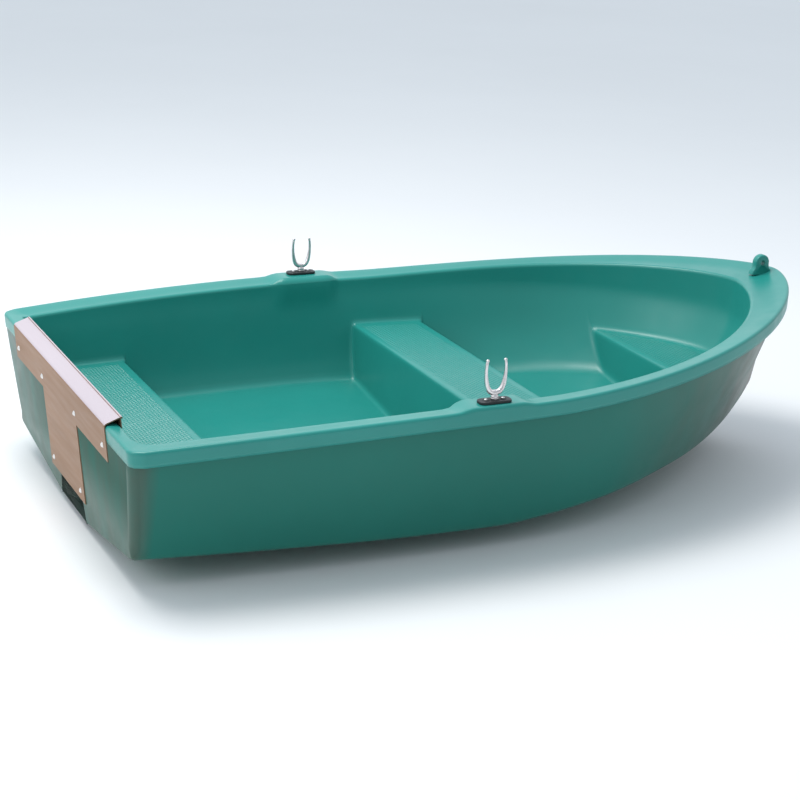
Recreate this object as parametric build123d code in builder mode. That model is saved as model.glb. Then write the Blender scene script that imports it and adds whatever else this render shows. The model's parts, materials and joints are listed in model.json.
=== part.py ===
"""Small double-skinned rowing dinghy with a T-shaped motor plate and two swivelling oarlocks.

Frame: +X to the bow, +Y to port, +Z up. The origin is under the middle of the boat, on the
ground that the keel rests on. A station is a distance forward of the top of the transom.
"""
from build123d import *
import math
import os

os.makedirs("parts", exist_ok=True)

# ---- driving dimensions (mm) ----
LENGTH = 2412.0            # outside length of the gunwale
HALF_BEAM = 722.0          # half width over the gunwale amidships
STERN_HALF = 666.0         # half width over the gunwale at the transom
STERN_RIM_Z = 425.0        # height of the gunwale at the transom
MIDSHIP = 1204.5           # station of the origin
ENTRY = 900.0              # station where the sides start to close in towards the bow
BOW_POWER = 1 / 1.5        # bluntness of every waterline at the stem
RAKE = 0.10                # forward run of the transom for each unit of fall

HULL_SKIN = 5.0
LINER_SKIN = 5.0
SKIRT_DEPTH = 43.0
TRANSOM_THICKNESS = 42.0   # hull skin, plywood core and liner skin together

STERN_SEAT = (372.0, 247.0)            # front edge station, top height
THWART = (1172.0, 1412.0, 295.0)       # aft edge, front edge, top height
BOW_SEAT = (1952.0, 287.0)             # aft edge station, top height

OARLOCK_STATION = 1003.0
OARLOCK_Y = 688.0

PAD_LENGTH = 240.0
PAD_INNER = 632.0          # the pad reaches this far inboard, past the gunwale's inner edge
PAD_OUTER = 716.0
PAD_TOP = 466.0
PAD_BULGE = 22.0
PAD_BULGE_DEPTH = 60.0
BASE_SIZE = (97.0, 40.0, 10.0)
SHANK_R = 6.0
BUSH_BORE_R = 6.05
BUSH_R = 8.0
SCREW_SPREAD = 52.0
SCREW_R = 3.0
SCREW_HOLE_R = 3.05

PLATE_THICKNESS = 3.0
PLATE_OFFSET = 25.0        # the motor plate sits this far to port of the centre line
BAND_WIDTH = 950.0
BAND_DEPTH = 100.0
LEG_WIDTH = 350.0
LEG_FOOT = 338.0           # the leg reaches this far down the transom
BOLT_R = 4.0
BOLT_HOLE_R = 4.2
TOP_BOLTS = ((-440, -63), (-170, -67), (170, -67), (440, -63))
LOW_BOLTS = ((-140, -308), (140, -308))
CORE_THICKNESS = 30.0

EYE_STATION = 2348.0
EYE_R = 26.0
EYE_Z = 588.0
EYE_HOLE_R = 9.0
EYE_THICKNESS = 24.0
BUNG_R = 14.0
BUNG_Z = 120.0
TOP_FACE = (Align.CENTER, Align.CENTER, Align.MAX)
FOOT_FACE = (Align.CENTER, Align.CENTER, Align.MIN)

FAR = 1600.0               # larger than anything that a cutting tool must pass through


def at(station):
    """X of a station."""
    return station - MIDSHIP


def sheer(station):
    """Height of the gunwale's top at a station."""
    if station < 1200:
        return STERN_RIM_Z + 34 * (1 - (1 - station / 1200) ** 2)
    return STERN_RIM_Z + 34 + 113 * ((station - 1200) / 1250) ** 1.5


def half_breadth(station, stern, widest, length, fullness, growth):
    """Half width of a waterline: swells forward from the stern, then closes to the stem."""
    swell = max(0.0, (ENTRY - station) / ENTRY) ** growth
    run = min(max((station - ENTRY) / (length - ENTRY), 0.0), 1.0)
    return (widest - (widest - stern) * swell) * (1 - run**fullness) ** BOW_POWER


def waterline(height, start, shape):
    """Closed plan outline on a horizontal plane, from a straight stern line round the bow."""
    length = shape[2]
    straight = [start + (ENTRY - start) * share for share in (0, 0.25, 0.5, 0.75)]
    closing = [ENTRY + (length - ENTRY) * run for run in (0, 0.2, 0.4, 0.56, 0.7, 0.82, 0.91, 0.97)]
    port = [(at(s), half_breadth(s, *shape)) for s in straight + closing]
    starboard = [(x, -y) for x, y in reversed(port)]
    with BuildSketch(Plane.XY.offset(height)) as outline:
        with BuildLine():
            Spline(port + [(at(length), 0)] + starboard)
            Line(port[0], starboard[-1])
        make_face()
    return outline.sketch


def boat_body(levels, skin=0.0):
    """Solid lofted through waterlines; a skin moves its surface inwards and upwards."""
    with BuildPart() as body:
        for height, start, stern, widest, length, fullness, growth in levels:
            shape = (max(stern - skin, 4.0), widest - skin, length - skin, fullness, growth)
            add(waterline(height + skin, start, shape))
        loft(ruled=True)
    return body.part


def side_region(offset, far_z):
    """Everything between the sheer curve, moved up by offset, and the height far_z."""
    stations = [-150, 300, 750, 1200, 1600, 2000, 2300, 2600]
    curve = [(at(s), sheer(s) + offset) for s in stations]
    with BuildPart() as region:
        with BuildSketch(Plane.XZ):
            with BuildLine():
                Spline(curve)
                Polyline(curve[-1], (curve[-1][0], far_z), (curve[0][0], far_z), curve[0])
            make_face()
        extrude(amount=FAR, both=True)
    return region.part


TUNNEL_HALF = 118.0
TUNNEL_ROOF = 98.0
TUNNEL_END = 620.0

# Levels: height, start station, half width at the stern, greatest half width, length of the
# waterline, fullness of the bow, and how late the width is reached.
HULL_LEVELS = (
    (0, 420, 70, 120, 1850, 1.7, 2),
    (10, 200, 60, 193, 1930, 1.7, 2),
    (25, -40, 52, 302, 2030, 1.75, 3),
    (40, -40, 146, 408, 2100, 1.8, 3),
    (55, -40, 240, 514, 2150, 1.9, 3),
    (68, -40, 330, 590, 2184, 1.95, 3.5),
    (84, -40, 440, 621, 2212, 2.0, 4),
    (104, -40, 545, 632, 2240, 2.05, 3),
    (130, -40, 578, 640, 2266, 2.05, 2),
    (225, -40, 604, 664, 2335, 2.1, 2),
    (325, -40, 631, 690, 2374, 2.25, 2),
    (425, -40, 651, 707, 2388, 2.4, 2),
    (600, -40, 656, 711, 2400, 2.5, 2),
)
TUB_LEVELS = (
    (50, 0, 90, 150, 1760, 1.8, 2),
    (60, 0, 160, 230, 1850, 1.9, 2),
    (85, 0, 330, 400, 1960, 2.0, 2),
    (112, 0, 500, 555, 2050, 2.1, 2),
    (135, 0, 548, 598, 2090, 2.2, 2),
    (180, 0, 560, 612, 2128, 2.4, 2),
    (250, 0, 570, 624, 2172, 2.7, 2),
    (350, 0, 580, 636, 2225, 2.9, 2),
    (430, 0, 588, 645, 2250, 3.0, 2),
    (620, 0, 592, 648, 2256, 3.0, 2),
)

RIM_SHAPE = (STERN_HALF, HALF_BEAM, LENGTH, 2.5, 2)


def transom_plane(depth):
    """Plane of the raked transom, depth forward of its outer face; local +Y runs up it."""
    return Plane(
        origin=(at(depth * math.hypot(1, RAKE)), 0, STERN_RIM_Z),
        x_dir=(0, -1, 0),
        z_dir=(-1, 0, -RAKE),
    )


def tunnel(skin):
    """Channel under the stern that fades out forwards, grown by a skin."""
    roof_half = TUNNEL_HALF - 14 + skin
    foot_half = TUNNEL_HALF + 8 + skin
    with BuildPart() as channel:
        for station, top in ((-60, TUNNEL_ROOF + skin), (TUNNEL_END, skin)):
            with BuildSketch(Plane.YZ.offset(at(station))):
                with BuildLine():
                    Polyline(
                        (-foot_half, -60), (-roof_half, top), (roof_half, top), (foot_half, -60),
                        close=True,
                    )
                make_face()
        loft(ruled=True)
    return channel.part


def seat_block(aft, front, top):
    """Block that reaches down from a seat's top, wider than the boat."""
    with BuildPart() as block:
        with Locations((at((aft + front) / 2), 0, top / 2 - 50)):
            Box(front - aft, FAR, top + 100)
    return block.part


def seat_blocks(inset):
    """The three seats, each shrunk by an inset at its top and at its free faces."""
    return (
        seat_block(-60, STERN_SEAT[0] - inset, STERN_SEAT[1] - inset),
        seat_block(THWART[0] + inset, THWART[1] - inset, THWART[2] - inset),
        seat_block(BOW_SEAT[0] + inset, LENGTH + 60, BOW_SEAT[1] - inset),
    )


PAD_ROOT = STERN_RIM_Z + 31


def bolt_places(spots, depth=0.0):
    """Places on the transom, at a depth forward of its outer face, for the plate's bolts."""
    plane = transom_plane(depth)
    return [plane * Location((across - PLATE_OFFSET, up, 0)) for across, up in spots]


def oarlock_pad(side):
    """Raised, level pad on the gunwale that also swells the cockpit wall under an oarlock."""
    across = PAD_OUTER - PAD_INNER
    with BuildPart() as pad:
        with Locations((at(OARLOCK_STATION), side * (PAD_INNER + PAD_OUTER) / 2, PAD_TOP)):
            Box(PAD_LENGTH, across, PAD_BULGE_DEPTH, align=TOP_FACE)
        fillet(pad.edges().filter_by(Axis.Z), 24)
        fillet(pad.faces().sort_by(Axis.Z)[-1].edges(), 4)
        with Locations((at(OARLOCK_STATION), side * (PAD_INNER + PAD_BULGE + across), PAD_ROOT)):
            Box(FAR, 2 * across, PAD_BULGE_DEPTH, align=TOP_FACE, mode=Mode.SUBTRACT)
    return pad.part


def screw_places(side, height):
    """Places of one oarlock's two base screws."""
    return [
        (at(OARLOCK_STATION) + end * SCREW_SPREAD / 2, side * OARLOCK_Y, height) for end in (-1, 1)
    ]


def finish(piece, name):
    """Label a finished sub-part and write its STEP file."""
    piece.part.label = name
    export_step(piece.part, f"parts/{name}.step")


# ---- outer moulding: sides, V bottom, transom and the tunnel in the keel ----
with BuildPart() as hull_block:
    add(boat_body(HULL_LEVELS))
    split(bisect_by=transom_plane(0), keep=Keep.BOTTOM)
    add(side_region(-LINER_SKIN, 900), mode=Mode.SUBTRACT)

with BuildPart() as hull_room:
    add(boat_body(HULL_LEVELS, HULL_SKIN))
    split(bisect_by=transom_plane(HULL_SKIN), keep=Keep.BOTTOM)
    add(tunnel(HULL_SKIN), mode=Mode.SUBTRACT)

with BuildPart() as outer_hull:
    add(hull_block.part)
    add(tunnel(0), mode=Mode.SUBTRACT)
    add(hull_room.part, mode=Mode.SUBTRACT)
    with Locations(*bolt_places(TOP_BOLTS + LOW_BOLTS)):
        Cylinder(BOLT_HOLE_R, 60, mode=Mode.SUBTRACT)
finish(outer_hull, "outer_hull")

# ---- inner moulding: the gunwale with its skirt, and the tub with its floor and three seats ----
with BuildPart() as rim_room:
    add(waterline(300, -40, tuple(v - LINER_SKIN for v in RIM_SHAPE[:3]) + RIM_SHAPE[3:]))
    extrude(amount=320)
    split(bisect_by=transom_plane(LINER_SKIN), keep=Keep.BOTTOM)
    add(side_region(-LINER_SKIN, 900), mode=Mode.SUBTRACT)

with BuildPart() as cockpit:
    add(boat_body(TUB_LEVELS))
    split(bisect_by=transom_plane(TRANSOM_THICKNESS), keep=Keep.BOTTOM)
    for block in seat_blocks(0):
        add(block, mode=Mode.SUBTRACT)

with BuildPart() as tub_form:
    add(boat_body(TUB_LEVELS, -LINER_SKIN))
    split(bisect_by=transom_plane(TRANSOM_THICKNESS - LINER_SKIN), keep=Keep.BOTTOM)
    add(side_region(0, 900), mode=Mode.SUBTRACT)

with BuildPart() as gunwale:
    add(waterline(300, -40, RIM_SHAPE))
    extrude(amount=320)
    split(bisect_by=transom_plane(0), keep=Keep.BOTTOM)
    add(side_region(0, 900), mode=Mode.SUBTRACT)
    add(side_region(-SKIRT_DEPTH, -200), mode=Mode.SUBTRACT)
    add(rim_room.part, mode=Mode.SUBTRACT)
    add(hull_block.part, mode=Mode.SUBTRACT)
    add(tub_form.part, mode=Mode.SUBTRACT)
    add(cockpit.part, mode=Mode.SUBTRACT)
    for side in (-1, 1):
        add(oarlock_pad(side))
        with Locations((at(OARLOCK_STATION), side * OARLOCK_Y, PAD_TOP)):
            Cylinder(BUSH_R, 80, mode=Mode.SUBTRACT)
        with Locations(*screw_places(side, PAD_TOP)):
            Cylinder(SCREW_HOLE_R, 80, mode=Mode.SUBTRACT)
    with BuildSketch(Plane.XZ.offset(-EYE_THICKNESS / 2)):
        with Locations((at(EYE_STATION), EYE_Z)):
            Circle(EYE_R)
        with Locations((at(EYE_STATION), EYE_Z - EYE_R)):
            Rectangle(2 * EYE_R, 2 * EYE_R)
        with Locations((at(EYE_STATION), EYE_Z)):
            Circle(EYE_HOLE_R, mode=Mode.SUBTRACT)
    extrude(amount=EYE_THICKNESS)
finish(gunwale, "gunwale")

with BuildPart() as inner_liner:
    add(tub_form.part)
    add(cockpit.part, mode=Mode.SUBTRACT)
    for block in seat_blocks(LINER_SKIN):
        add(block, mode=Mode.SUBTRACT)
    for side in (-1, 1):
        add(oarlock_pad(side), mode=Mode.SUBTRACT)
    with Locations(*bolt_places(TOP_BOLTS)):
        Cylinder(BOLT_HOLE_R, 140, mode=Mode.SUBTRACT)
    with Locations(Location((at(STERN_SEAT[0]), 0, BUNG_Z), (0, 90, 0))):
        Cylinder(BUNG_R, 30, mode=Mode.SUBTRACT)
finish(inner_liner, "inner_liner")

# ---- buoyancy foam inside the three seats ----
FOAM_GAP = 2.0             # room round the foam, inside the hull's skin
foam_room = boat_body(HULL_LEVELS, HULL_SKIN + FOAM_GAP)


def foam(aft, front, half_width, seat, foot=0.0):
    """Foam that fills a seat from the hull's bottom up to just under the seat's top."""
    with BuildPart() as block:
        with Locations((at((aft + front) / 2), 0, foot)):
            Box(front - aft, 2 * half_width, seat[-1] - LINER_SKIN - 1 - foot, align=FOOT_FACE)
        add(foam_room, mode=Mode.INTERSECT)
        add(tunnel(HULL_SKIN + FOAM_GAP), mode=Mode.SUBTRACT)
    return block


finish(foam(80, STERN_SEAT[0] - 30, 520, STERN_SEAT), "stern_foam")
finish(foam(THWART[0] + 7, THWART[1] - 7, 560, THWART), "thwart_foam")
finish(foam(BOW_SEAT[0] + 7, 2060, 150, BOW_SEAT, 110), "bow_foam")

# ---- transom: plywood core, folded motor plate and its fasteners ----
core_plane = transom_plane(HULL_SKIN + 0.5)
with BuildPart() as transom_core:
    with BuildSketch(core_plane):
        with BuildLine():
            Polyline(
                (-560, -10), (560, -10), (540, -250), (480, -300), (180, -326), (-180, -326),
                (-480, -300), (-540, -250), close=True,
            )
        make_face()
    extrude(amount=-CORE_THICKNESS)
    with Locations(*bolt_places(TOP_BOLTS + LOW_BOLTS)):
        Cylinder(BOLT_HOLE_R, 140, mode=Mode.SUBTRACT)
finish(transom_core, "transom_core")

with BuildPart() as motor_plate:
    with BuildSketch(transom_plane(0)):
        with Locations((-PLATE_OFFSET, -BAND_DEPTH / 2)):
            Rectangle(BAND_WIDTH, BAND_DEPTH)
        with Locations((-PLATE_OFFSET, -LEG_FOOT / 2)):
            Rectangle(LEG_WIDTH, LEG_FOOT)
    extrude(amount=PLATE_THICKNESS)
    with BuildSketch(Plane.XZ.offset(-PLATE_OFFSET - BAND_WIDTH / 2)):
        with BuildLine():
            Polyline(
                (at(-3.0), STERN_RIM_Z - 2), (at(-3.0), STERN_RIM_Z + 4), (at(44), STERN_RIM_Z + 22),
                (at(46), STERN_RIM_Z + 22), (at(46), STERN_RIM_Z + 19),
                (at(0), STERN_RIM_Z + 1), (at(0), STERN_RIM_Z - 2), close=True,
            )
        make_face()
    extrude(amount=BAND_WIDTH)
    with BuildSketch(transom_plane(TRANSOM_THICKNESS)):
        with Locations((-PLATE_OFFSET, -35)):
            Rectangle(BAND_WIDTH, 110)
    extrude(amount=-PLATE_THICKNESS)
    with Locations(*bolt_places(TOP_BOLTS + LOW_BOLTS)):
        Cylinder(BOLT_HOLE_R, 140, mode=Mode.SUBTRACT)
finish(motor_plate, "motor_plate")


def fasteners(name, spots, depth, shapes):
    """A group of round fasteners on the transom; shapes are (radius, from, to) along the bolt."""
    with BuildPart() as group:
        for spot in spots:
            plane = Plane(bolt_places([spot], depth)[0])
            for radius, start, end in shapes:
                with BuildSketch(plane.offset(start)):
                    Circle(radius)
                extrude(amount=end - start)
    finish(group, name)


HEAD_R = 8.0
HEAD_HEIGHT = 5.0
INNER_FACE = -(TRANSOM_THICKNESS + PLATE_THICKNESS)
CORE_FACE = -(HULL_SKIN + 0.5 + CORE_THICKNESS)
HEAD = (HEAD_R, PLATE_THICKNESS, PLATE_THICKNESS + HEAD_HEIGHT)
fasteners(
    "plate_bolts_top", TOP_BOLTS, 0, (HEAD, (BOLT_R, INNER_FACE - 12, PLATE_THICKNESS))
)
fasteners(
    "plate_bolts_low", LOW_BOLTS, 0, (HEAD, (BOLT_R, CORE_FACE - 8, PLATE_THICKNESS))
)


def ring(name, spots, radius, bore, start, end, sides=0):
    """A group of washers or nuts on the transom's bolts."""
    with BuildPart() as group:
        for spot in spots:
            plane = Plane(bolt_places([spot])[0])
            with BuildSketch(plane.offset(start)):
                if sides:
                    RegularPolygon(radius, sides)
                else:
                    Circle(radius)
                Circle(bore, mode=Mode.SUBTRACT)
            extrude(amount=end - start)
    finish(group, name)


ring("plate_washers", TOP_BOLTS, 9.0, BOLT_HOLE_R, INNER_FACE, INNER_FACE - 1.6)
ring("plate_nuts", TOP_BOLTS, 7.5, BOLT_R, INNER_FACE - 1.6, INNER_FACE - 8.4, 6)
ring("core_nuts", LOW_BOLTS, 11.0, BOLT_R, CORE_FACE, CORE_FACE - 6)

# ---- oarlocks: base, bush, block under the gunwale, swivelling horn and what holds it in ----
BASE_TOP = PAD_TOP + BASE_SIZE[2]
BLOCK_DEPTH = 18.0
BLOCK_TOP = STERN_RIM_Z + 30.8 - LINER_SKIN
BLOCK_FOOT = BLOCK_TOP - BLOCK_DEPTH
FLANGE_R = 11.0
FLANGE_HEIGHT = 4.0
HORN_FOOT = BASE_TOP + FLANGE_HEIGHT + 0.1
HUB_R = 10.5
HUB_HEIGHT = 9.0
ROD_R = 5.5
JAW_HALF = 29.0
TIP_HALF = 26.0
HORN_HEIGHT = 106.0
WASHER_GAP = 0.3
WASHER_TOP = BLOCK_FOOT - WASHER_GAP
SHANK_FOOT = WASHER_TOP - 14
PIN_Z = WASHER_TOP - 5.5
PIN_R = 1.5

for side, label in ((1, "port"), (-1, "starboard")):
    centre = (at(OARLOCK_STATION), side * OARLOCK_Y)

    with BuildPart() as base:
        with Locations((*centre, PAD_TOP)):
            Box(*BASE_SIZE, align=FOOT_FACE)
        fillet(base.edges().filter_by(Axis.Z), 14)
        fillet(base.faces().sort_by(Axis.Z)[-1].edges(), 2.5)
        with Locations((*centre, PAD_TOP)):
            Cylinder(BUSH_R, 80, mode=Mode.SUBTRACT)
        with Locations(*screw_places(side, PAD_TOP)):
            Cylinder(SCREW_HOLE_R, 80, mode=Mode.SUBTRACT)
    finish(base, f"{label}_oarlock_base")

    with BuildPart() as bush:
        with Locations((*centre, BLOCK_FOOT)):
            Cylinder(BUSH_R, BASE_TOP - BLOCK_FOOT, align=FOOT_FACE)
        with Locations((*centre, BASE_TOP)):
            Cylinder(FLANGE_R, FLANGE_HEIGHT, align=FOOT_FACE)
        with Locations((*centre, BASE_TOP)):
            Cylinder(BUSH_BORE_R, 200, mode=Mode.SUBTRACT)
    finish(bush, f"{label}_oarlock_bush")

    with BuildPart() as block:
        with Locations((*centre, BLOCK_TOP)):
            Box(96, 22, BLOCK_DEPTH, align=TOP_FACE)
            Cylinder(BUSH_R, 80, mode=Mode.SUBTRACT)
        with Locations(*screw_places(side, PAD_TOP)):
            Cylinder(SCREW_R - 0.6, 80, mode=Mode.SUBTRACT)
    finish(block, f"{label}_oarlock_block")

    with BuildPart() as screws:
        for place in screw_places(side, BASE_TOP):
            with Locations(place):
                Cylinder(SCREW_R - 0.6, BASE_TOP - BLOCK_FOOT - 2, align=TOP_FACE)
                Cylinder(5.0, 2.4, align=FOOT_FACE)
        fillet(screws.edges().filter_by(GeomType.CIRCLE).group_by(Axis.Z)[-1], 1.6)
    finish(screws, f"{label}_oarlock_screws")

    with BuildPart() as horn:
        with Locations((*centre, SHANK_FOOT)):
            Cylinder(SHANK_R, HORN_FOOT - SHANK_FOOT, align=FOOT_FACE)
        with Locations((*centre, HORN_FOOT)):
            Cylinder(HUB_R, HUB_HEIGHT, align=FOOT_FACE)
        limb = [(TIP_HALF, HORN_HEIGHT), (JAW_HALF, 0.62 * HORN_HEIGHT), (0.8 * JAW_HALF, 0.3 * HORN_HEIGHT)]
        profile = limb + [(0, HUB_HEIGHT + 3)] + [(-x, z) for x, z in reversed(limb)]
        with BuildLine(Plane.XZ.offset(-centre[1])) as yoke_path:
            yoke = Spline([(centre[0] + x, HORN_FOOT + z) for x, z in profile])
        with BuildSketch(Plane(origin=yoke @ 0, z_dir=yoke % 0)):
            Circle(ROD_R)
        sweep(path=yoke)
        with Locations(yoke @ 0, yoke @ 1):
            Sphere(ROD_R)
        with Locations(Location((*centre, PIN_Z), (90, 0, 0))):
            Cylinder(PIN_R + 0.05, 40, mode=Mode.SUBTRACT)
    finish(horn, f"{label}_oarlock")

    with BuildPart() as washer:
        with Locations((*centre, WASHER_TOP)):
            Cylinder(9.5, 1.6, align=TOP_FACE)
            Cylinder(SHANK_R + 0.1, 20, mode=Mode.SUBTRACT)
    finish(washer, f"{label}_oarlock_washer")

    with BuildPart() as split_pin:
        with Locations(Location((*centre, PIN_Z), (90, 0, 0))):
            Cylinder(PIN_R, 19)
    finish(split_pin, f"{label}_split_pin")

# ---- drain bung in the front of the stern seat ----
bung_plane = Plane(origin=(at(STERN_SEAT[0]), 0, BUNG_Z), z_dir=(1, 0, 0))
with BuildPart() as drain_bung:
    with BuildSketch(bung_plane.offset(-14)):
        Circle(BUNG_R - 0.1)
    extrude(amount=14 + 2)
    with BuildSketch(bung_plane.offset(2)):
        Circle(20)
    extrude(amount=5)
    fillet(drain_bung.faces().sort_by(Axis.X)[-1].edges(), 1.5)
    with BuildSketch(bung_plane.offset(7)):
        Rectangle(6, 30)
    extrude(amount=7)
    fillet(drain_bung.faces().sort_by(Axis.X)[-1].edges(), 1.5)
finish(drain_bung, "drain_bung")

with BuildPart() as bung_seal:
    with BuildSketch(bung_plane):
        Circle(18.5)
        Circle(BUNG_R, mode=Mode.SUBTRACT)
    extrude(amount=2)
finish(bung_seal, "bung_seal")
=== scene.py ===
"""Looks of a small double-skinned rowing dinghy. Lengths in the helpers are millimetres.

A station is a distance forward of the top of the transom; heights are above the ground.
"""
import json
import math

import bmesh
import bpy
import numpy as np
from mathutils import Matrix, Vector


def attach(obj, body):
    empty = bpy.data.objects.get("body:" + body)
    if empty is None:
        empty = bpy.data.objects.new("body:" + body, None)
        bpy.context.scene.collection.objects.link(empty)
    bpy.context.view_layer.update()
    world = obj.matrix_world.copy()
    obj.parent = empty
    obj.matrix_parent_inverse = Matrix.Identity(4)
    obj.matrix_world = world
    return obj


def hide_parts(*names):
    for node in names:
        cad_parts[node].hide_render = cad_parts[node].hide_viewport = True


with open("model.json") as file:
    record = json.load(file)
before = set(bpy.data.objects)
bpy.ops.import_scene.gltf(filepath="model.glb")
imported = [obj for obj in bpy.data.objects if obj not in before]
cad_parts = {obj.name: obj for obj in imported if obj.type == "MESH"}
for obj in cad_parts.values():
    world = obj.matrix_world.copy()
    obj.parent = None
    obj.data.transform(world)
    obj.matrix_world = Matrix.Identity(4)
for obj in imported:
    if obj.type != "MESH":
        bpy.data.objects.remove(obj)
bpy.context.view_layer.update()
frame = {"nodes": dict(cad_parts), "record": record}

MIDSHIP = 1204.5
LENGTH, HALF_BEAM, STERN_HALF = 2412.0, 722.0, 666.0
RIM_Z = 425.0
ENTRY = 900.0
RAKE = 0.10
RAKE_LENGTH = math.hypot(1, RAKE)
RIM_FULLNESS = 2.5
RIM_DISH = 9.0
FLAT_STATION, AFT_SHEER, BOW_SHEER, BOW_SHEER_RUN = 1200.0, 34.0, 113.0, 1250.0
SKIRT_DEPTH = 43.0
TRANSOM_THICKNESS = 42.0
STERN_CORNER_R = 37.0
SKIN = 5.0
STERN_SEAT_FRONT, STERN_SEAT_TOP = 372.0, 247.0
THWART_AFT, THWART_FRONT, THWART_TOP = 1172.0, 1412.0, 295.0
BOW_SEAT_AFT, BOW_SEAT_TOP = 1952.0, 287.0
OARLOCK_STATION, OARLOCK_Y, PAD_TOP = 1003.0, 688.0, 466.0


# ---- shared helpers ----
def smooth(t):
    t = np.clip(t, 0, 1)
    return t * t * (3 - 2 * t)


def clustered(start, end, count, pull=0.75):
    """Numbers from start to end, closer together at both ends."""
    t = np.linspace(0, 1, count)
    return start + (end - start) * (t - pull * np.sin(2 * np.pi * t) / (2 * np.pi))


def through(knots, values, x):
    """Monotone cubic curve through points."""
    knots, values = np.asarray(knots, float), np.asarray(values, float)
    h, d = np.diff(knots), np.diff(values) / np.diff(knots)
    m = np.zeros_like(values)
    same = d[:-1] * d[1:] > 0
    wa, wb = 2 * h[1:] + h[:-1], h[1:] + 2 * h[:-1]
    safe = np.where(same, d[:-1], 1), np.where(same, d[1:], 1)
    m[1:-1] = np.where(same, (wa + wb) / (wa / safe[0] + wb / safe[1]), 0)
    m[0], m[-1] = d[0], d[-1]
    x = np.clip(x, knots[0], knots[-1])
    k = np.clip(np.searchsorted(knots, x) - 1, 0, len(h) - 1)
    t = (x - knots[k]) / h[k]
    return (
        values[k] * (1 + 2 * t) * (1 - t) ** 2 + h[k] * m[k] * t * (1 - t) ** 2
        + values[k + 1] * t * t * (3 - 2 * t) + h[k] * m[k + 1] * t * t * (t - 1)
    )


def round_min(a, b, r):
    return np.maximum(r, np.minimum(a, b)) - np.hypot(np.maximum(r - a, 0), np.maximum(r - b, 0))


def round_max(a, b, r):
    return -round_min(-a, -b, r)


def to_world(points):
    """Stations, widths and heights in millimetres to metres in the frame."""
    points = np.array(points, float).reshape(-1, 3)
    points[:, 0] -= MIDSHIP
    return points / 1000


def mesh_object(name, points, faces, smooth_shade=True):
    mesh = bpy.data.meshes.new(name)
    mesh.from_pydata([tuple(p) for p in points], [], [tuple(f) for f in faces])
    mesh.validate()
    obj = bpy.data.objects.new(name, mesh)
    bpy.context.scene.collection.objects.link(obj)
    mesh.polygons.foreach_set("use_smooth", [smooth_shade] * len(mesh.polygons))
    return obj


def fix_normals(obj, weld=1e-6):
    """Turns the faces outward, after merging vertices closer than weld metres if it isn't None."""
    mesh = bmesh.new()
    mesh.from_mesh(obj.data)
    if weld is not None:
        bmesh.ops.remove_doubles(mesh, verts=mesh.verts[:], dist=weld)
    bmesh.ops.recalc_face_normals(mesh, faces=mesh.faces[:])
    mesh.to_mesh(obj.data)
    mesh.free()


def apply_modifiers(obj):
    bpy.context.view_layer.update()
    graph = bpy.context.evaluated_depsgraph_get()
    mesh = bpy.data.meshes.new_from_object(obj.evaluated_get(graph))
    obj.modifiers.clear()
    obj.data = mesh
    return obj


def joined(name, parts):
    """One object made of several, which must be unparented."""
    mesh = bmesh.new()
    for part in parts:
        part.data.transform(part.matrix_world)
        mesh.from_mesh(part.data)
        bpy.data.objects.remove(part)
    data = bpy.data.meshes.new(name)
    mesh.to_mesh(data)
    mesh.free()
    obj = bpy.data.objects.new(name, data)
    bpy.context.scene.collection.objects.link(obj)
    return obj


class Shell:
    """Collects grids of points and welds what coincides."""

    def __init__(self):
        self.points, self.faces, self.count = [], [], 0

    def grid(self, points):
        rows, columns = points.shape[:2]
        index = np.arange(rows * columns).reshape(rows, columns) + self.count
        quads = np.stack([index[:-1, :-1], index[1:, :-1], index[1:, 1:], index[:-1, 1:]], -1)
        self.points.append(points.reshape(-1, 3))
        self.faces += [tuple(q) for q in quads.reshape(-1, 4)]
        self.count += rows * columns
        return index

    def face(self, indices):
        self.faces.append(tuple(indices))

    def welded(self):
        points = np.concatenate(self.points)
        keys = np.round(points * 50).astype(np.int64)
        _, first, inverse = np.unique(keys, axis=0, return_index=True, return_inverse=True)
        inverse = inverse.ravel()
        faces = []
        for face in self.faces:
            loop = [inverse[v] for v in face]
            loop = [v for n, v in enumerate(loop) if v != loop[n - 1]]
            if len(set(loop)) > 2:
                faces.append(loop)
        return points[first], faces


def mirrored(points, faces):
    """Adds the starboard half of a port half and welds the two at the centre line."""
    points = points.copy()
    points[np.abs(points[:, 1]) < 0.02, 1] = 0
    middle = points[:, 1] == 0
    other = np.where(middle, np.arange(len(points)), 0)
    other[~middle] = len(points) + np.arange((~middle).sum())
    both = np.concatenate([points, points[~middle] * (1, -1, 1)])
    return both, faces + [[other[v] for v in reversed(face)] for face in faces]


def projected(points, field, steps=7, reach=7.0):
    """Moves points onto the surface where a field is nought, at most reach mm a step."""
    points = points.copy()
    half_gap, least_slope = 0.4, 0.05
    for _ in range(steps):
        value = field(*points.T)
        slope = np.stack([
            (field(*(points + half_gap * axis).T) - field(*(points - half_gap * axis).T)) / (2 * half_gap)
            for axis in np.eye(3)
        ], -1)
        size = np.maximum((slope**2).sum(-1), least_slope)
        move = -(value / size)[:, None] * slope
        length = np.maximum(np.linalg.norm(move, axis=1), 1e-9)
        points += move * np.minimum(1, reach / length)[:, None]
    return points


# ---- the boat's lines ----
def sheer(s):
    """Height of the gunwale's outer edge."""
    aft = AFT_SHEER * (1 - (1 - s / FLAT_STATION) ** 2)
    forward = AFT_SHEER + BOW_SHEER * (np.maximum(s - FLAT_STATION, 0) / BOW_SHEER_RUN) ** 1.5
    return RIM_Z + np.where(s < FLAT_STATION, aft, forward)


def transom_station(z, depth=0.0):
    """Station of the raked transom's outer face, or of a plane a depth forward of it."""
    return RAKE * (RIM_Z - z) + depth * RAKE_LENGTH


def width_at(s, stern, widest):
    return widest - (widest - stern) * (np.maximum(0, ENTRY - s) / ENTRY) ** 2


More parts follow.
